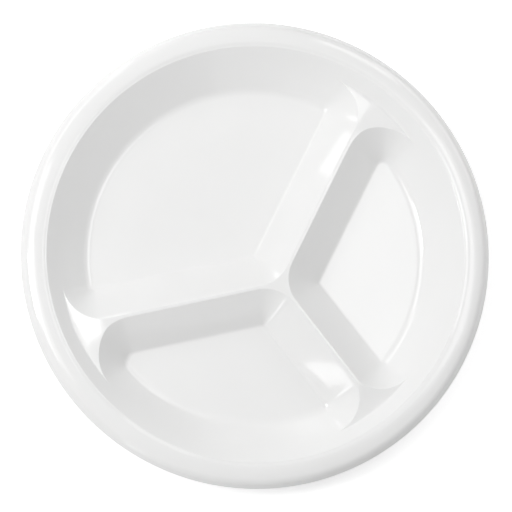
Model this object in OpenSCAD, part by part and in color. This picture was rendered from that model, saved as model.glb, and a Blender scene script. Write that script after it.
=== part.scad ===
/* [Plate] */
// Outside diameter, over the edge of the lip
plate_d = 260; // [220:1:320]
// Depth from the inner edge of the rim down to the compartment floors
depth = 20; // [18:0.5:26]
// Width in plan of the sloping outer wall, from the rim down to the floor
wall_run = 21.8; // [18:0.2:26]
// Thickness of the sheet, measured straight down, so a drawn wall is thinner than the floor
sheet_t = 0.8; // [0.5:0.1:1.5]
// Radius on which a divider's wall turns into a floor
foot_r = 3; // [1:0.5:5]
// Radius on which the outer wall turns into a floor
wall_foot_r = 7.5; // [3:0.5:9]

/* [Rim] */
// Width in plan of the whole rim, from its inner edge to the edge of the lip
rim_w = 14.2; // [12:0.2:18]
// Height of the crown of the rim above its inner edge
crown_h = 0.7; // [0.3:0.1:1.5]
// Radius that breaks the inner edge of the rim
rim_edge_r = 1.2; // [0.6:0.1:2]
// Radius of the shoulder on which the rim turns down
shoulder_r = 6; // [3:0.5:7]
// Angle of the lip below the horizontal
lip_angle = 60; // [45:1:65]
// Drop of the lip below the crown of the rim
lip_drop = 6; // [4.5:0.5:7]

/* [Dividers] */
// Height of the divider crests above the floors
crest_h = 17.2; // [14:0.2:18]
// Width of the flat along a crest, before its edges are rounded
crest_w = 1.6; // [1.2:0.1:3]
// Radius on the two edges of a crest
crest_edge_r = 1.5; // [0.5:0.1:1.5]
// Angle between the stem divider and each of the two arms
arm_angle = 115.7; // [110:0.1:125]
// Distance from the plate's centre to the point where the three dividers meet
hub_off = 21.3; // [10:0.1:28]
// Width in plan of the wall that is left above the flared end of a divider
flare_inset = 7.3; // [5:0.1:10]

/* [Compartment corners] */
// Corner radius at the crest line where the dividers meet
hub_corner_r = 20.5; // [12:0.5:24]
// Corner radius at the crest line at both ends of the main compartment
main_corner_r = 22; // [14:0.5:26]
// Corner radius at the crest line of a side compartment beside an arm
arm_corner_r = 24; // [14:0.5:28]
// Corner radius at the crest line of a side compartment beside the stem
stem_corner_r = 21; // [14:0.5:26]
// Smallest corner radius, which the corners come down to at the floor
floor_corner_r = 1.5; // [1:0.5:4]

/* [Hidden] */

// Grid steps: along the corners and walls, and across the rounded edges.
hub_steps = 8;
divider_steps = 6;
corner_steps = 12;
flare_steps = corner_steps / 2;
main_wall_steps = 48;
side_wall_steps = 18;
foot_steps = 3;
edge_steps = 2;
dome_steps = 3;
shoulder_steps = 5;

// All walls, of the bowl and of the dividers, have one slope.
slope = depth / wall_run;
slope_angle = atan(slope);
rim_in_r = plate_d / 2 - rim_w;
flare_r = rim_in_r - flare_inset;
flare_h = depth - flare_inset * slope;
crest_wall_r = rim_in_r - (depth - crest_h) / slope;
// How far in from the crest line a wall's foot of this radius reaches the floor.
function floor_inset(r) = crest_h / slope + r * tan(slope_angle / 2);

// The rounded edge of a crest reaches this far to both sides of the sharp one.
crest_edge_run = crest_edge_r * tan(slope_angle / 2);
crest_edge_drop = crest_edge_run * crest_edge_run / crest_edge_r / 4;
crest_edge_share = 1 / 3;

// The rim's section: a rounded inner edge, a dome, a shoulder arc and a straight lip.
rim_edge_run = rim_edge_r * tan(slope_angle / 2);
lip_run = (lip_drop - shoulder_r * (1 - cos(lip_angle))) / tan(lip_angle);
dome_w = rim_w - shoulder_r * sin(lip_angle) - lip_run;

// Directions of the dividers. The stem runs to -Y and the main compartment is at +Y.
stem_dir = -90;
arm_dir = stem_dir + arm_angle;
far_arm_dir = 180 - arm_dir;
hub = [0, -hub_off];
seam_start = hub_corner_r * tan(90 - arm_angle / 2);

// Each compartment: its first and last divider counter-clockwise, the corner radii there, wall steps.
compartments = [
    [stem_dir, arm_dir, stem_corner_r, arm_corner_r, side_wall_steps],
    [arm_dir, far_arm_dir, main_corner_r, main_corner_r, main_wall_steps],
    [far_arm_dir, stem_dir + 360, arm_corner_r, stem_corner_r, side_wall_steps]
];

function ray(angle) = [cos(angle), sin(angle)];
function angle_near(p, ref) = let (a = atan2(p.y, p.x)) a + 360 * round((ref - a) / 360);
function mix(from, to, share) = from + (to - from) * share;
function corner_r_at(r, inset) = max(r - inset, floor_corner_r);

// Distance from the hub, along a divider, of its point on a circle about the plate's centre.
function reach(start, dir, r) =
    let (along = start * ray(dir)) sqrt(along * along - start * start + r * r) - along;

// Centres of a compartment's corner arcs. Side is 1 at its first divider and -1 at its last.
function hub_centre(c, inset) =
    let (half = (c[1] - c[0]) / 2, clear = crest_w / 2 + inset + corner_r_at(hub_corner_r, inset))
    hub + clear / sin(half) * ray((c[0] + c[1]) / 2);
function end_centre(dir, side, r, inset) =
    let (rho = corner_r_at(r, inset), start = hub + (crest_w / 2 + inset + rho) * ray(dir + side * 90))
    start + reach(start, dir, crest_wall_r - inset - rho) * ray(dir);

// A compartment's outline has these columns, counted counter-clockwise from the hub corner.
function first_line(c) = hub_steps;
function first_corner(c) = first_line(c) + divider_steps;
function wall_start(c) = first_corner(c) + corner_steps;
function last_corner(c) = wall_start(c) + c[4];
function last_line(c) = last_corner(c) + corner_steps;
function columns(c) = last_line(c) + divider_steps;

// A point of the outline, drawn in from the crest line by an inset. A share runs from 0 to 1.
function hub_spot(c, inset, share) =
    hub_centre(c, inset) + corner_r_at(hub_corner_r, inset) * ray(mix(c[1] + 90, c[0] + 270, share));
function first_spot(c, inset, share) =
    let (m = end_centre(c[0], 1, c[2], inset))
    m + corner_r_at(c[2], inset) * ray(mix(c[0] - 90, angle_near(m, c[0]), share));
function last_spot(c, inset, share) =
    let (m = end_centre(c[1], -1, c[3], inset))
    m + corner_r_at(c[3], inset) * ray(mix(angle_near(m, c[1]), c[1] + 90, share));
function wall_spot(c, inset, share) =
    let (from = angle_near(end_centre(c[0], 1, c[2], inset), c[0]))
    let (to = angle_near(end_centre(c[1], -1, c[3], inset), c[1]))
    (crest_wall_r - inset) * ray(mix(from, to, share));
function spot(c, i, inset) =
    i <= first_line(c) ? hub_spot(c, inset, i / hub_steps)
    : i < first_corner(c)
    ? mix(hub_spot(c, inset, 1), first_spot(c, inset, 0), (i - first_line(c)) / divider_steps)
    : i <= wall_start(c) ? first_spot(c, inset, (i - first_corner(c)) / corner_steps)
    : i < last_corner(c) ? wall_spot(c, inset, (i - wall_start(c)) / c[4])
    : i <= last_line(c) ? last_spot(c, inset, (i - last_corner(c)) / corner_steps)
    : mix(last_spot(c, inset, 1), hub_spot(c, inset, 0), (i - last_line(c)) / divider_steps);

// Height of the divider tops above the floors: level as far out as the main compartment's
// corners start, then falling evenly to the wall.
fall_start_r = norm(first_spot(compartments[1], 0, 0));
function top_h(p) =
    mix(crest_h, flare_h, max(0, min(1, (norm(p) - fall_start_r) / (flare_r - fall_start_r))));
function wall_h(inset) = crest_h - slope * inset;

// Inset at which a compartment's wall meets the falling divider top, found by repeated steps.
crest_tries = 12;
function crest_inset(c, i, inset = 0, tries = crest_tries) =
    tries == 0 ? inset
    : crest_inset(c, i, (crest_h - top_h(spot(c, i, inset))) / slope, tries - 1);

// How much a column belongs to a divider, for the rounding of its crest and for its foot's radius:
// wholly along a divider, and not at all along the outer wall.
function edge_share(c, i) =
    i <= first_corner(c) || i >= last_line(c) ? 1
    : i < wall_start(c) ? (wall_start(c) - i) / corner_steps
    : i > last_corner(c) ? (i - last_corner(c)) / corner_steps
    : 0;

// One column from the crest down to the floor, as points on the upper face of the sheet.
function column(c, i) =
    let (on_wall = i >= wall_start(c) && i <= last_corner(c))
    let (edge = on_wall ? (crest_h - flare_h) / slope : crest_inset(c, i))
    let (share = edge_share(c, i), top = spot(c, i, edge - crest_edge_run * share))
    let (mid_inset = edge + crest_edge_run * crest_edge_share, low_inset = edge + crest_edge_run)
    let (r = mix(wall_foot_r, foot_r, share))
    [
        [top.x, top.y, on_wall ? flare_h : top_h(top)],
        concat(spot(c, i, mid_inset), wall_h(mid_inset) - crest_edge_drop * share),
        concat(spot(c, i, low_inset), wall_h(low_inset)),
        for (k = [0 : foot_steps])
            let (turn = slope_angle * (1 - k / foot_steps), inset = floor_inset(r) - r * sin(turn))
            concat(spot(c, i, inset), r * (1 - cos(turn)))
    ];
rows = 3 + foot_steps + 1;

// Seams: the middle line of each divider, from near the hub out to the wall.
seam_dirs = [stem_dir, arm_dir, far_arm_dir];
seam_rows = divider_steps + flare_steps;
function seam_point(dir, k) =
    let (fall = reach(hub, dir, fall_start_r), end = reach(hub, dir, flare_r))
    let (s = k < divider_steps ? mix(seam_start, fall, k / divider_steps)
        : mix(fall, end, (k - divider_steps) / flare_steps))
    let (p = hub + s * ray(dir))
    [p.x, p.y, top_h(p)];

// Points of a flared end on the circle where it meets the wall, between its seam and its corner.
function flare_point(c, side, k) =
    let (dir = side > 0 ? c[0] : c[1], seam = seam_point(dir, seam_rows))
    let (from = angle_near(seam, dir), tip = spot(c, side > 0 ? wall_start(c) : last_corner(c),
        (crest_h - flare_h) / slope))
    let (a = mix(from, angle_near(tip, dir), k / flare_steps))
    concat(flare_r * ray(a), flare_h);

// The upper face is one list of points: the hub, the seams, then each compartment's own points.
seams_at = 1;
function seam_id(d, k) = seams_at + (d % len(seam_dirs)) * (seam_rows + 1) + k;
function first_id(n) =
    n == 0 ? seams_at + len(seam_dirs) * (seam_rows + 1)
    : first_id(n - 1) + columns(compartments[n - 1]) * rows + 2 * (flare_steps - 1) + 1;
function grid_id(n, i, row) =
    first_id(n) + (i % columns(compartments[n])) * rows + row;
function flare_id(n, side, k) =
    first_id(n) + columns(compartments[n]) * rows + (side > 0 ? 0 : flare_steps - 1) + k - 1;
function floor_id(n) = first_id(n) + columns(compartments[n]) * rows + 2 * (flare_steps - 1);

// What lies just outside a column's crest: the hub, a seam, a flared end, or the crest itself.
function flare_side_id(n, side, k) =
    k <= flare_steps ? seam_id(side > 0 ? n : n + 1, divider_steps + k)
    : k < corner_steps ? flare_id(n, side, k - flare_steps)
    : grid_id(n, side > 0 ? wall_start(compartments[n]) : last_corner(compartments[n]), 0);
function outer_id(n, i) =
    let (c = compartments[n])
    i == 0 || i == columns(c) ? seam_id(n + 1, 0)
    : i < first_line(c) ? 0
    : i <= first_corner(c) ? seam_id(n, i - first_line(c))
    : i < wall_start(c) ? flare_side_id(n, 1, i - first_corner(c))
    : i <= last_corner(c) ? grid_id(n, i, 0)
    : i < last_line(c) ? flare_side_id(n, -1, last_line(c) - i)
    : seam_id(n + 1, columns(c) - i);

// The wall above the flares and the rim are one section carried round the plate.
rim_profile = [
    for (k = [0 : edge_steps])
        let (left = slope_angle * (1 - k / edge_steps))
        [
            rim_in_r + rim_edge_run - rim_edge_r * sin(left),
            depth - rim_edge_r * (1 - cos(left))
        ],
    for (k = [1 : dome_steps])
        let (share = k / dome_steps)
        [mix(rim_in_r + rim_edge_run, rim_in_r + dome_w, share), depth + crown_h * sin(90 * share)],
    for (k = [1 : shoulder_steps])
        let (turn = lip_angle * k / shoulder_steps)
        [rim_in_r + dome_w + shoulder_r * sin(turn), depth + crown_h - shoulder_r * (1 - cos(turn))],
    [plate_d / 2, depth + crown_h - lip_drop]
];
ring = [
    for (n = [0 : len(compartments) - 1])
        let (c = compartments[n])
        each [
            seam_id(n, seam_rows),
            for (k = [1 : flare_steps - 1]) flare_id(n, 1, k),
            for (i = [wall_start(c) : last_corner(c)]) grid_id(n, i, 0),
            for (k = [flare_steps - 1 : -1 : 1]) flare_id(n, -1, k)
        ]
];

inner_points = [
    concat(hub, crest_h),
    for (dir = seam_dirs)
        for (k = [0 : seam_rows]) seam_point(dir, k),
    for (c = compartments)
        each [
            for (i = [0 : columns(c) - 1]) each column(c, i),
            for (side = [1, -1])
                for (k = [1 : flare_steps - 1]) flare_point(c, side, k),
            concat(mix(hub_spot(c, floor_inset(foot_r), 1 / 2),
                wall_spot(c, floor_inset(wall_foot_r), 1 / 2), 1 / 2), 0)
        ]
];
rim_at = len(inner_points);
function rim_id(j, k) = k < 0 ? ring[j % len(ring)] : rim_at + k * len(ring) + j % len(ring);
upper_points = concat(inner_points, [
    for (p = rim_profile)
        for (id = ring)
            let (q = inner_points[id], a = atan2(q.y, q.x))
            [p.x * cos(a), p.x * sin(a), p.y]
]);

// Two triangles between neighbouring columns, less any side that has no length. The corners are given
// counter-clockwise and the triangles run clockwise, as seen from outside.
function quad(a, b, c, d) = [
    if (a != b && b != c && c != a) [c, b, a],
    if (a != c && c != d && d != a) [d, c, a]
];
upper_faces = [
    for (n = [0 : len(compartments) - 1])
        for (i = [0 : columns(compartments[n]) - 1])
            each [
                each quad(outer_id(n, i), outer_id(n, i + 1), grid_id(n, i + 1, 0), grid_id(n, i, 0)),
                for (row = [0 : rows - 2])
                    each quad(grid_id(n, i, row), grid_id(n, i + 1, row),
                        grid_id(n, i + 1, row + 1), grid_id(n, i, row + 1)),
                [floor_id(n), grid_id(n, i + 1, rows - 1), grid_id(n, i, rows - 1)]
            ],
    for (k = [0 : len(rim_profile) - 1])
        for (j = [0 : len(ring) - 1])
            each quad(rim_id(j, k), rim_id(j + 1, k), rim_id(j + 1, k - 1), rim_id(j, k - 1))
];

// The lower face is the upper one moved down by the sheet's thickness, joined at the lip's edge.
under = len(upper_points);
module plate() {
    color("white")
        polyhedron(
            points = [
                for (p = upper_points) p + [0, 0, sheet_t],
                for (p = upper_points) p
            ],
            faces = [
                for (f = upper_faces) f,
                for (f = upper_faces) [f[2] + under, f[1] + under, f[0] + under],
                for (j = [0 : len(ring) - 1])
                    let (k = len(rim_profile) - 1)
                    each quad(rim_id(j + 1, k), rim_id(j, k), rim_id(j, k) + under, rim_id(j + 1, k) + under)
            ]
        );
}

plate();
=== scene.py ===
from collections import namedtuple
from math import atan, cos, pi, radians, sin, tan

import bpy
import numpy as np
from mathutils import Matrix, Vector


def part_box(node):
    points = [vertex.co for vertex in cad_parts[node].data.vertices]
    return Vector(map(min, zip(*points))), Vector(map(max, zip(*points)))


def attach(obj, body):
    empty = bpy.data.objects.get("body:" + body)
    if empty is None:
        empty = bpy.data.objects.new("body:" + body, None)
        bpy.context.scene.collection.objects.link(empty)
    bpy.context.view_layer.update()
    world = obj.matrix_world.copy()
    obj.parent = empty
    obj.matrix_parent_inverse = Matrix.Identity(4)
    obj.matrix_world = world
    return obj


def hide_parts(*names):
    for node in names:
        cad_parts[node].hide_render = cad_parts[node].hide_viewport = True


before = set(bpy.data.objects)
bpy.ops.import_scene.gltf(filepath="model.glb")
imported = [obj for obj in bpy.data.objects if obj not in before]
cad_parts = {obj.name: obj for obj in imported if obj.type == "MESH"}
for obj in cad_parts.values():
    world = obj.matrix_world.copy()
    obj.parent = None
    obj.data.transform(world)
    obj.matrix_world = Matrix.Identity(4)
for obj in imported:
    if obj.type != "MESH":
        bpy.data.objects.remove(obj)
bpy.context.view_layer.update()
low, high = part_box("plate")

# Camera: the photograph looks at the plate from almost straight above. The main compartment lies to
# the upper left in it, so a direction in the photograph is one in the frame turned by photo_turn.
photo_turn = radians(38.1)
camera_lean = radians(7.9)
camera_lean_dir = radians(239.6)
camera_distance = 1.3
view_width = 0.2823
aim_right, aim_up = -0.0006, -0.0022


def photo_ray(angle):
    """The level direction in the frame that points at this angle in the photograph."""
    return Vector((cos(angle - photo_turn), sin(angle - photo_turn), 0))


camera = bpy.data.cameras.new("camera")
camera.lens = camera.sensor_width * camera_distance / view_width
camera_object = bpy.data.objects.new("camera", camera)
bpy.context.scene.collection.objects.link(camera_object)
back = photo_ray(camera_lean_dir) * sin(camera_lean) + Vector((0, 0, cos(camera_lean)))
up = photo_ray(pi / 2)
up = (up - back * up.dot(back)).normalized()
right = up.cross(back)
aim = Vector((0, 0, high.z)) + right * aim_right + up * aim_up
camera_object.matrix_world = Matrix.Translation(aim + back * camera_distance) @ Matrix(
    (right, up, back)).transposed().to_4x4()
bpy.context.scene.camera = camera_object
bpy.context.scene.view_settings.view_transform = "Standard"

# Plate: one sheet of glossy white plastic, formed warm over a mould, so its dividers are hollow
# folds. The mesh's lines follow the crests, corners and floors, so that each rounded edge shades
# smoothly, and its lower face is the upper one moved down by the sheet's thickness.
plate_r = high.x
sheet_t = 0.0008

# Rim, from the inside out: a rounded edge, a rise to the crown, a gentle roll, a shoulder, a lip.
rim_w = 0.0142
rim_edge_r = 0.0012
crown_w, crown_h = 0.0025, 0.0007
roll_angle = radians(12)
shoulder_r = 0.006
lip_angle, lip_drop = radians(60), 0.006

# Outer wall, which slopes as the dividers' sides do, and the rounded feet of both. The floors'
# corners keep a small radius.
depth = high.z - low.z - crown_h - sheet_t
wall_run = 0.0218
wall_foot_r, foot_r = 0.0075, 0.003
floor_corner_r = 0.0015

# Dividers: a stem and two arms that meet in a rounded hub. Their tops are level until near the
# outer wall, where they fall to meet it, and the fold between the two is filled a little.
hub = -0.0213j
stem_dir, arm_dir, far_arm_dir = radians(-90), radians(25.7), radians(154.3)
crest_h, crest_w, crest_edge_r = 0.0172, 0.0016, 0.0009
hub_corner_r = 0.0205
main_corner_r, arm_corner_r, stem_corner_r = 0.022, 0.024, 0.021
flare_inset = 0.0073
fall_round_share = 0.12
valley_rise = 0.0015

# What follows from these: the slope, the rim's inner circle, the circle and the height at which a
# falling top meets the wall, the circle where the wall is as high as the crests, how far before its
# sharp edge a crest's rounding starts, the circle where the rim's own mesh starts, and how far from
# the hub a divider's middle line starts.
slope = depth / wall_run
slope_angle = atan(slope)
rim_in_r = plate_r - rim_w
flare_r = rim_in_r - flare_inset
flare_h = depth - flare_inset * slope
crest_wall_r = rim_in_r - (depth - crest_h) / slope
edge_run = crest_edge_r * tan(slope_angle / 2)
ring_r = flare_r + edge_run
seam_start = hub_corner_r * tan(pi / 2 - (arm_dir - stem_dir) / 2)

# The mesh's steps: along the hub's arcs, the dividers and the corners, then across a crest's top,
# its edge, the wall, the foot and the floor, and across the rim's crown and roll, shoulder and lip.
# A power crowds the rows towards the start of a crest's top and of the wall above it. The line of
# a crest is found in a number of rounds, and points within one place of a grid this fine are one.
hub_steps, line_steps, corner_steps = 20, 30, 26
strip_steps, edge_steps, wall_steps, foot_steps, floor_steps = 7, 6, 7, 8, 4
dome_steps, shoulder_steps, lip_steps = 6, 12, 2
row_crowding = 1.4
crest_line_rounds = 40
places_per_metre = 1e7

# Each compartment: the directions of its first and last divider, the radii of its corners at the
# wall, and its steps along the wall.
Compartment = namedtuple("Compartment", "first last first_corner_r last_corner_r along_wall")
compartments = [
    Compartment(stem_dir, arm_dir, stem_corner_r, arm_corner_r, 64),
    Compartment(arm_dir, far_arm_dir, main_corner_r, main_corner_r, 160),
    Compartment(far_arm_dir, stem_dir + 2 * pi, arm_corner_r, stem_corner_r, 64),
]


def ray(angle):
    """Points of the unit circle in plan, as complex numbers x + iy."""
    return np.exp(1j * angle)


def mix(a, b, share):
    """The point that lies a share of the way from a to b."""
    return a + (b - a) * share


def reach(start, direction, r):
    """How far from start, along a direction, the circle of radius r about the centre is: the root
    of (along + t)^2 + aside^2 = r^2, with start split into its parts along and aside."""
    local = start * ray(-direction)
    return np.sqrt(r ** 2 - local.imag ** 2) - local.real


def hub_arc(c, inset, share):
    """The rounded corner at the hub. Its radius shrinks by the inset, and its centre lies on the
    bisector of the two dividers, as far out as keeps the arc tangent to both."""
    r = np.maximum(hub_corner_r - inset, floor_corner_r)
    off = (crest_w / 2 + inset + r) / sin((c.last - c.first) / 2)
    turn = mix(c.last + pi / 2, c.first + 1.5 * pi, share)
    return hub + off * ray((c.first + c.last) / 2) + r * ray(turn)


def end_arc(c, side, inset, share):
    """The rounded corner where a divider meets the outer wall, and the direction of its centre. The
    centre lies one radius from the divider's line and one radius inside the wall's circle. Side is
    1 for the first divider and -1 for the last."""
    first = side > 0
    direction, corner_r = (c.first, c.first_corner_r) if first else (c.last, c.last_corner_r)
    r = np.maximum(corner_r - inset, floor_corner_r)
    start = hub + (crest_w / 2 + inset + r) * ray(direction + side * pi / 2)
    centre = start + reach(start, direction, crest_wall_r - inset - r) * ray(direction)
    turn = np.angle(centre * ray(-direction))
    span = mix(-pi / 2, turn, share) if first else mix(turn, pi / 2, share)
    return centre + r * ray(direction + span), direction + turn


def column_counts(c):
    """How many columns each stretch of an outline has, in this order: hub arc, first divider,
    corner, wall, corner, last divider."""
    line, corner = line_steps - 1, corner_steps + 1
    return [hub_steps + 1, line, corner, c.along_wall - 1, corner, line]


def shares(c):
    """The share of its own stretch that each column has gone, from 0 to 1. Arcs hold both of their
    ends, and the stretches between them hold neither."""
    hub_share, line, corner, wall = (
        np.linspace(0, 1, steps + 1)[:, None]
        for steps in (hub_steps, line_steps, corner_steps, c.along_wall))
    return [hub_share, line[1:-1], corner, wall[1:-1], corner, line[1:-1]]


def outline(c, inset):
    """Points of a compartment's outline, drawn in from its crest line by an inset for each column
    and row: arcs at the hub and at both ends of the wall, straight lines between, and the wall's
    circle."""
    rows = np.split(inset, np.cumsum(column_counts(c))[:-1])
    s = shares(c)
    wall_from = end_arc(c, 1, rows[3], 0)[1]
    wall_to = end_arc(c, -1, rows[3], 0)[1]
    return np.concatenate([
        hub_arc(c, rows[0], s[0]),
        mix(hub_arc(c, rows[1], 1), end_arc(c, 1, rows[1], 0)[0], s[1]),
        end_arc(c, 1, rows[2], s[2])[0],
        (crest_wall_r - rows[3]) * ray(mix(wall_from, wall_to, s[3])),
        end_arc(c, -1, rows[4], s[4])[0],
        mix(end_arc(c, -1, rows[5], 1)[0], hub_arc(c, rows[5], 0), s[5]),
    ])


# The tops start to fall where the main compartment's corners start.
fall_start_r = abs(end_arc(compartments[1], 1, 0.0, 0.0)[0])


def soft_ramp(u):
    """A ramp that is near 0 for u far below 0 and near u far above it, with a rounded bend between:
    half of u plus the root of u squared plus a small square."""
    return (u + np.sqrt(u ** 2 + fall_round_share ** 2)) / 2


def top_height(p):
    """Height of the divider tops: level as far as the main compartment's corners, then falling
    evenly to where the wall is met."""
    u = np.minimum((np.abs(p) - fall_start_r) / (flare_r - fall_start_r), 1)
    middle = soft_ramp(-fall_start_r / (flare_r - fall_start_r))
    ramp = (soft_ramp(u) - middle) / (soft_ramp(1.0) - middle)
    return crest_h - (crest_h - flare_h) * np.clip(ramp, 0, 1)


def outer_wall(p):
    """Height of the even wall that rises to the rim, at its distance from the centre."""
    return depth - slope * (rim_in_r - np.abs(p))


def valley(p):
    """How far the fold between a falling divider top and the wall above it is filled: the smooth
    maximum of the two heights, less the greater one."""
    gap = top_height(p) - outer_wall(p)
    return (np.sqrt(gap ** 2 + valley_rise ** 2) - np.abs(gap)) / 2


def edge_weight(c):
    """How much each column belongs to a divider, for the rounding of its crest and the radius of
    its foot: wholly along a divider, not at all along the outer wall, and an even fade along the
    corners."""
    n = column_counts(c)
    fade = np.linspace(1, 0, corner_steps + 1)
    weights = [np.ones(n[0] + n[1]), fade, np.zeros(n[3]), fade[::-1], np.ones(n[5])]
    return np.concatenate(weights)[:, None]


def outer_points(c, crest):
    """What lies outside each column's crest: the middle line of a divider, and past its end the
    circle on which it meets the wall. Along the wall it is the crest itself."""
    s = shares(c)
    tips = np.cumsum(column_counts(c))

    def seam(direction, share):
        """Points along a divider's middle line: share 0 to 1 up to the fall, 1 to 2 down it."""
        fall, end = reach(hub, direction, fall_start_r), reach(hub, direction, ring_r)
        along = np.where(share < 1, mix(seam_start, fall, share), mix(fall, end, share - 1))
        return hub + along * ray(direction)

    def flare(direction, tip, share):
        """From the start of the fall down the middle line, then along the circle to a
        compartment's tip."""
        end = seam(direction, 2.0)
        turn = np.angle(tip / end)
        on_circle = ring_r * ray(np.angle(end) + turn * (2 * share - 1))
        return np.where(share < 0.5, seam(direction, 1 + 2 * share), on_circle)

    to_hub = mix(seam(c.last, 0.0), hub, 2 * s[0])
    from_hub = mix(hub, seam(c.first, 0.0), 2 * s[0] - 1)
    return np.concatenate([
        np.where(s[0] < 0.5, to_hub, from_hub),
        seam(c.first, s[1]),
        flare(c.first, crest[tips[2] - 1], s[2]),
        crest[tips[2]:tips[3]],
        flare(c.last, crest[tips[3]], 1 - s[4]),
        seam(c.last, 1 - s[5]),
    ])


def compartment_grid(c):
    """Points of one compartment, a column for each place along its outline. The rows run from the
    divider's middle over the rounded crest and down the even wall, round the foot and to the
    floor's middle. The crest's inset is where the wall's height equals the divider top's, found by
    repetition, and its rounding is an arc's drop below the sharp edge."""
    weight = edge_weight(c)
    edge = np.zeros_like(weight)
    for _ in range(crest_line_rounds):
        edge = (crest_h - top_height(outline(c, edge))) / slope

    turn = np.linspace(0, slope_angle, edge_steps + 1)
    offset = crest_edge_r * np.sin(turn) - edge_run
    drop = crest_edge_r * (1 - np.cos(turn)) - slope * np.maximum(offset, 0)
    crest_rows = edge + offset
    crest = outline(c, crest_rows)
    top = np.maximum(top_height(crest), outer_wall(crest))
    crest_z = np.minimum(crest_h - slope * crest_rows, top) - drop * weight

    across = np.linspace(0, 1, strip_steps + 1)[:-1] ** row_crowding
    strip = mix(outer_points(c, crest[:, :1]), crest[:, :1], across)
    fade = (1 - across ** 2) ** 2
    strip_z = np.maximum(top_height(strip), outer_wall(strip)) + valley(strip) * weight * fade

    foot = mix(wall_foot_r, foot_r, weight)
    floor_inset = crest_h / slope + foot * tan(slope_angle / 2)
    wall_share = np.linspace(0, 1, wall_steps + 1)[1:]
    wall_rows = mix(crest_rows[:, -1:], floor_inset - foot * sin(slope_angle), wall_share)
    wall_z = mix(crest_z[:, -1:], foot * (1 - cos(slope_angle)), wall_share)
    foot_turn = np.linspace(slope_angle, 0, foot_steps + 1)[1:]
    foot_rows = floor_inset - foot * np.sin(foot_turn)
    foot_z = foot * (1 - np.cos(foot_turn))
    lower = outline(c, np.hstack([wall_rows, foot_rows]))

    by_wall = (crest_wall_r - floor_inset.max()) * ray((c.first + c.last) / 2)
    middle = mix(hub_arc(c, floor_inset.min(), 0.5), by_wall, 0.5)
    floor = mix(lower[:, -1:], middle, np.linspace(0, 1, floor_steps + 1)[1:])
    plan = np.hstack([strip, crest, lower, floor])
    return plan, np.hstack([strip_z, crest_z, wall_z, foot_z, np.zeros(floor.shape)])


def rim_grid(angles, flared):
    """Points of the rim, a column for each direction: the wall above the flared ends, the rounded
    inner edge, a short rise to the crown, a gentle roll outward, the shoulder and the lip. The roll
    and the shoulder are arcs, and the lip's run is what leaves the lip at its drop: the roll falls
    by its run times the tangent of half its turn."""
    run = rim_edge_r * tan(slope_angle / 2)
    crown_r, crown_z = rim_in_r + run + crown_w, depth + crown_h
    shoulder_run = shoulder_r * (sin(lip_angle) - sin(roll_angle))
    shoulder_drop = shoulder_r * (cos(roll_angle) - cos(lip_angle))
    outer_run = plate_r - crown_r - shoulder_run
    fall = tan(roll_angle / 2)
    roll_run = (outer_run * tan(lip_angle) - lip_drop + shoulder_drop) / (tan(lip_angle) - fall)
    roll_r = roll_run / sin(roll_angle)

    wall_share = np.linspace(0, 1, wall_steps + 1)[:-1] ** row_crowding
    wall_r = mix(ring_r, rim_in_r - run * cos(slope_angle), wall_share)
    turn = np.linspace(slope_angle, 0, edge_steps + 1)
    share = np.linspace(0, 1, dome_steps + 1)[1:]
    roll = np.linspace(0, roll_angle, dome_steps + 1)[1:]
    bend = np.linspace(roll_angle, lip_angle, shoulder_steps + 1)[1:]
    bend_r = crown_r + roll_run + shoulder_r * (np.sin(bend) - sin(roll_angle))
    bend_z = crown_z - roll_run * fall - shoulder_r * (cos(roll_angle) - np.cos(bend))
    lip = np.linspace(0, 1, lip_steps + 1)[1:]
    stretches = [
        (wall_r, outer_wall(wall_r)),
        (rim_in_r + run - rim_edge_r * np.sin(turn), depth - rim_edge_r * (1 - np.cos(turn))),
        (mix(rim_in_r + run, crown_r, share), depth + crown_h * np.sin(share * pi / 2)),
        (crown_r + roll_r * np.sin(roll), crown_z - roll_r * (1 - np.cos(roll))),
        (bend_r, bend_z),
        (mix(bend_r[-1], plate_r, lip), mix(bend_z[-1], crown_z - lip_drop, lip)),
    ]
    r, profile = (np.concatenate(values) for values in zip(*stretches))
    z = np.broadcast_to(profile, (len(angles), len(profile))).copy()
    z[:, :len(wall_r)] += valley(wall_r) * flared[:, None]
    return r * ray(angles[:, None]), z


def grid_quads(shape, start):
    """Four corners of each cell of a grid that closes on itself across its columns, counting its
    points row by row from a start."""
    index = start + np.arange(shape[0] * shape[1]).reshape(shape)
    following = np.roll(index, -1, axis=0)
    corners = [index[:, :-1], following[:, :-1], following[:, 1:], index[:, 1:]]
    return np.stack(corners, axis=-1).reshape(-1, 4)


def solid_points(plan, z):
    """Rows of x, y and z, for points in plan with heights above the floors' upper face."""
    rows = np.column_stack([plan.real.ravel(), plan.imag.ravel(), z.ravel()])
    return rows + [0, 0, low.z + sheet_t]


def weld(points, quads):
    """Joins points that coincide to a ten-thousandth of a millimetre. Gives the points that are
    left, each cell's corners among them, and which corners count: not a repeated one, as in a cell
    that has a side of no length, and none of a cell where fewer than three are left."""
    places = np.round(points * places_per_metre).astype(np.int64)
    _, keep, where = np.unique(places, axis=0, return_index=True, return_inverse=True)
    corners = where.reshape(-1)[quads]
    counts = corners != np.roll(corners, 1, axis=1)
    counts[counts.sum(axis=1) < 3] = False
    return points[keep], corners, counts


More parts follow.
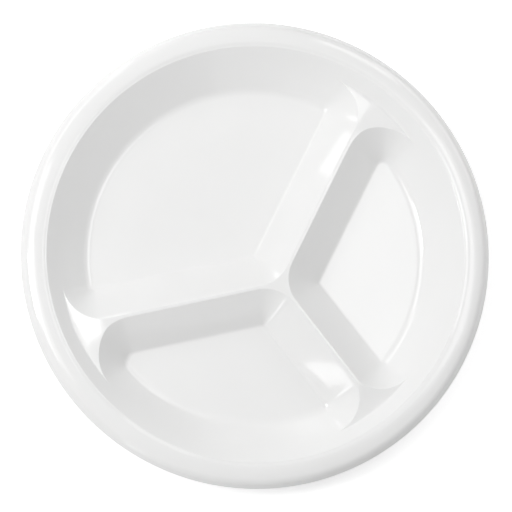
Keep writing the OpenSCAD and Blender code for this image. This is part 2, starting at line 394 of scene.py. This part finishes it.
# The rim's columns go on from the compartments' outermost points, from the middle of one corner at
# the wall to the middle of the next. Each point is taken once, in order round the plate.
grids = [compartment_grid(c) for c in compartments]
ring, ring_weight = [], []
for c, (plan, _) in zip(compartments, grids):
    tips = np.cumsum(column_counts(c))
    half = corner_steps // 2
    on_ring = np.r_[tips[1] + half:tips[4] - half]
    ring.append(plan[on_ring, 0])
    ring_weight.append(edge_weight(c)[on_ring, 0])
ring, ring_weight = np.concatenate(ring), np.concatenate(ring_weight)
order = np.argsort(np.angle(ring), kind="stable")
ring, ring_weight = ring[order], ring_weight[order]
apart = np.abs(ring - np.roll(ring, 1)) > 1 / places_per_metre
rim_plan, rim_z = rim_grid(np.angle(ring[apart]), ring_weight[apart])
grids.append((rim_plan, rim_z))

starts = np.cumsum([0] + [plan.size for plan, _ in grids])
quads = [grid_quads(plan.shape, start) for (plan, _), start in zip(grids, starts)]
quads[-1] = quads[-1][:, ::-1]
points = np.concatenate([solid_points(plan, z) for plan, z in grids])
points, corners, counts = weld(points, np.concatenate(quads))
lip = solid_points(rim_plan[:, -1], rim_z[:, -1])

# The lower face repeats the cells the other way round. The lip's cut edge has points of its own, so
# that its two corners stay sharp.
down = np.array([0, 0, sheet_t])
under = len(points)
cut_top = 2 * under + np.arange(len(lip))
cut_low = cut_top + len(lip)
cut = np.column_stack([np.roll(cut_top, -1), cut_top, cut_low, np.roll(cut_low, -1)])
all_points = np.vstack([points, points - down, lip, lip - down])
corners = np.vstack([corners, corners[:, ::-1] + under, cut])
counts = np.vstack([counts, counts[:, ::-1], np.ones(cut.shape, dtype=bool)])
sides = counts.sum(axis=1)
sides = sides[sides > 0]

plate_mesh = bpy.data.meshes.new("plate_skin")
plate_mesh.vertices.add(len(all_points))
plate_mesh.vertices.foreach_set("co", all_points.ravel())
plate_mesh.loops.add(int(sides.sum()))
plate_mesh.loops.foreach_set("vertex_index", corners[counts])
plate_mesh.polygons.add(len(sides))
plate_mesh.polygons.foreach_set("loop_start", np.cumsum(sides) - sides)
plate_mesh.polygons.foreach_set("use_smooth", np.ones(len(sides), dtype=bool))
plate_mesh.update(calc_edges=True)
plate_skin = bpy.data.objects.new("plate_skin", plate_mesh)
bpy.context.scene.collection.objects.link(plate_skin)
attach(plate_skin, "root")
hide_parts("plate")

# Glossy white plastic: a clear, slightly uneven gloss over a white body, with the slow waves that a
# sheet keeps from forming and a fine grain that softens its highlights. Scales are in waves to a
# metre, and depths in metres.
shade_low, shade_high = (0.845, 0.845, 0.84, 1), (0.875, 0.875, 0.872, 1)
shade_scale, gloss_scale, wave_scale, grain_scale = 30, 45, 22, 900
smoothest, roughest = 0.05, 0.09
wave_depth, wave_strength = 0.0004, 0.25
grain_depth, grain_strength = 0.00002, 0.3

plastic = bpy.data.materials.new("plate_plastic")
plastic.use_nodes = True
nodes, links = plastic.node_tree.nodes, plastic.node_tree.links
shader = nodes["Principled BSDF"]
shader.inputs["IOR"].default_value = 1.5
place = nodes.new("ShaderNodeTexCoord")


def noise(scale, detail):
    """A noise on the object's own coordinates, with this many waves to a metre."""
    texture = nodes.new("ShaderNodeTexNoise")
    texture.inputs["Scale"].default_value = scale
    texture.inputs["Detail"].default_value = detail
    links.new(place.outputs["Object"], texture.inputs["Vector"])
    return texture.outputs["Fac"]


def spread(value, least, most):
    """The same value, spread evenly between two others."""
    node = nodes.new("ShaderNodeMapRange")
    node.inputs["To Min"].default_value = least
    node.inputs["To Max"].default_value = most
    links.new(value, node.inputs["Value"])
    return node.outputs["Result"]


def relief(height, distance, strength):
    """A bump that follows a height, at this depth and strength."""
    node = nodes.new("ShaderNodeBump")
    node.inputs["Distance"].default_value = distance
    node.inputs["Strength"].default_value = strength
    links.new(height, node.inputs["Height"])
    return node


tint = nodes.new("ShaderNodeMix")
tint.data_type = "RGBA"
tint.inputs["A"].default_value = shade_low
tint.inputs["B"].default_value = shade_high
links.new(noise(shade_scale, detail=3), tint.inputs["Factor"])
links.new(tint.outputs["Result"], shader.inputs["Base Color"])
roughness = spread(noise(gloss_scale, detail=2), smoothest, roughest)
links.new(roughness, shader.inputs["Roughness"])
waves = relief(noise(wave_scale, detail=1), wave_depth, wave_strength)
grain = relief(noise(grain_scale, detail=2), grain_depth, grain_strength)
links.new(waves.outputs["Normal"], grain.inputs["Normal"])
links.new(grain.outputs["Normal"], shader.inputs["Normal"])
plate_mesh.materials.append(plastic)

# Floor and surroundings: a plain pale floor that keeps the plate's shadow and glows white where it
# is looked at, under a sky that is white where it is looked at and a soft grey as a light.
floor_size, floor_gap = 4.0, 0.0001
paper_shade, paper_roughness, paper_glow = 0.8, 0.9, 0.55
sky_as_light, sky_as_seen = 0.305, 1.0

side, floor_z = floor_size / 2, low.z - floor_gap
floor_corners = [(-side, -side, floor_z), (side, -side, floor_z), (side, side, floor_z),
                 (-side, side, floor_z)]
floor_mesh = bpy.data.meshes.new("floor")
floor_mesh.from_pydata(floor_corners, [], [(0, 1, 2, 3)])
floor = bpy.data.objects.new("floor", floor_mesh)
bpy.context.scene.collection.objects.link(floor)


def looked_at(nodes, links):
    """1 where the camera looks, straight, in a reflection or through something clear, and 0 for the
    light that falls on things: the greatest of the three kinds of ray."""
    rays = nodes.new("ShaderNodeLightPath")
    value = rays.outputs["Is Camera Ray"]
    for kind in ("Is Glossy Ray", "Is Transmission Ray"):
        either = nodes.new("ShaderNodeMath")
        either.operation = "MAXIMUM"
        links.new(value, either.inputs[0])
        links.new(rays.outputs[kind], either.inputs[1])
        value = either.outputs["Value"]
    return value


paper = bpy.data.materials.new("floor_paper")
paper.use_nodes = True
nodes, links = paper.node_tree.nodes, paper.node_tree.links
surface = nodes["Principled BSDF"]
surface.inputs["Base Color"].default_value = (paper_shade, paper_shade, paper_shade, 1)
surface.inputs["Roughness"].default_value = paper_roughness
glow = nodes.new("ShaderNodeEmission")
level = nodes.new("ShaderNodeMath")
level.operation = "MULTIPLY"
level.inputs[1].default_value = paper_glow
links.new(looked_at(nodes, links), level.inputs[0])
links.new(level.outputs["Value"], glow.inputs["Strength"])
both = nodes.new("ShaderNodeAddShader")
links.new(surface.outputs["BSDF"], both.inputs[0])
links.new(glow.outputs["Emission"], both.inputs[1])
links.new(both.outputs["Shader"], nodes["Material Output"].inputs["Surface"])
floor_mesh.materials.append(paper)

world = bpy.data.worlds.new("studio")
bpy.context.scene.world = world
world.use_nodes = True
nodes, links = world.node_tree.nodes, world.node_tree.links
sky = nodes["Background"]
sky.inputs["Color"].default_value = (1, 1, 1, 1)
strength = spread(looked_at(nodes, links), sky_as_light, sky_as_seen)
links.new(strength, sky.inputs["Strength"])

# Lamps: soft panels round the plate, placed for the light and dark that the photograph shows on it.
# Two small ones stand low and near, and each is mirrored as a bright patch on a divider's side.
panel_distance = 1.2


def add_panel(name, turn, rise, wide, tall, power, distance=panel_distance, base=(0, 0, 0),
              roll=0):
    """A rectangular lamp that faces its base: a place to the right of the plate's middle, above it
    in the photograph and up from the table. It stands at a distance from there, in the direction
    turn of the photograph, at the angle rise above the horizon. Roll turns it about its own
    axis."""
    lamp = bpy.data.lights.new(name, "AREA")
    lamp.shape = "RECTANGLE"
    lamp.size, lamp.size_y, lamp.energy = wide, tall, power
    lamp_object = bpy.data.objects.new(name, lamp)
    bpy.context.scene.collection.objects.link(lamp_object)
    turn, rise, roll = radians(turn), radians(rise), radians(roll)
    towards = photo_ray(turn) * cos(rise) + Vector((0, 0, sin(rise)))
    spot = photo_ray(0) * base[0] + photo_ray(pi / 2) * base[1] + Vector((0, 0, base[2]))
    facing = towards.to_track_quat("Z", "Y").to_matrix() @ Matrix.Rotation(roll, 3, "Z")
    lamp_object.matrix_world = Matrix.Translation(spot + towards * distance) @ facing.to_4x4()


add_panel("key_panel", 170, 55, 0.6, 0.5, 3.0)
add_panel("key_panel_low", 182, 41, 0.3, 0.25, 3.1)
add_panel("left_panel", 135, 36, 0.6, 0.5, 2.0)
add_panel("flare_panel", 184, 66, 0.34, 0.22, 0.4)
add_panel("upper_panel", 15, 68, 0.5, 0.3, 0.5)
add_panel("far_panel", 40, 30, 0.7, 0.5, 2.0)
add_panel("far_flare_panel", 62, 50, 0.24, 0.2, 0.41)
add_panel("low_panel", 262, 18, 1.2, 0.6, 1.2)
add_panel("near_panel", 15, 70, 0.22, 0.18, 0.28, distance=0.51)
add_panel("patch_lamp_upper", 143, 7, 0.032, 0.035, 0.009, distance=0.2,
          base=(0.037, 0.0635, 0.010))
add_panel("patch_lamp_lower", 218.6, 11.9, 0.014, 0.036, 0.0055, distance=0.2,
          base=(0.0385, -0.0665, 0.010), roll=-38)
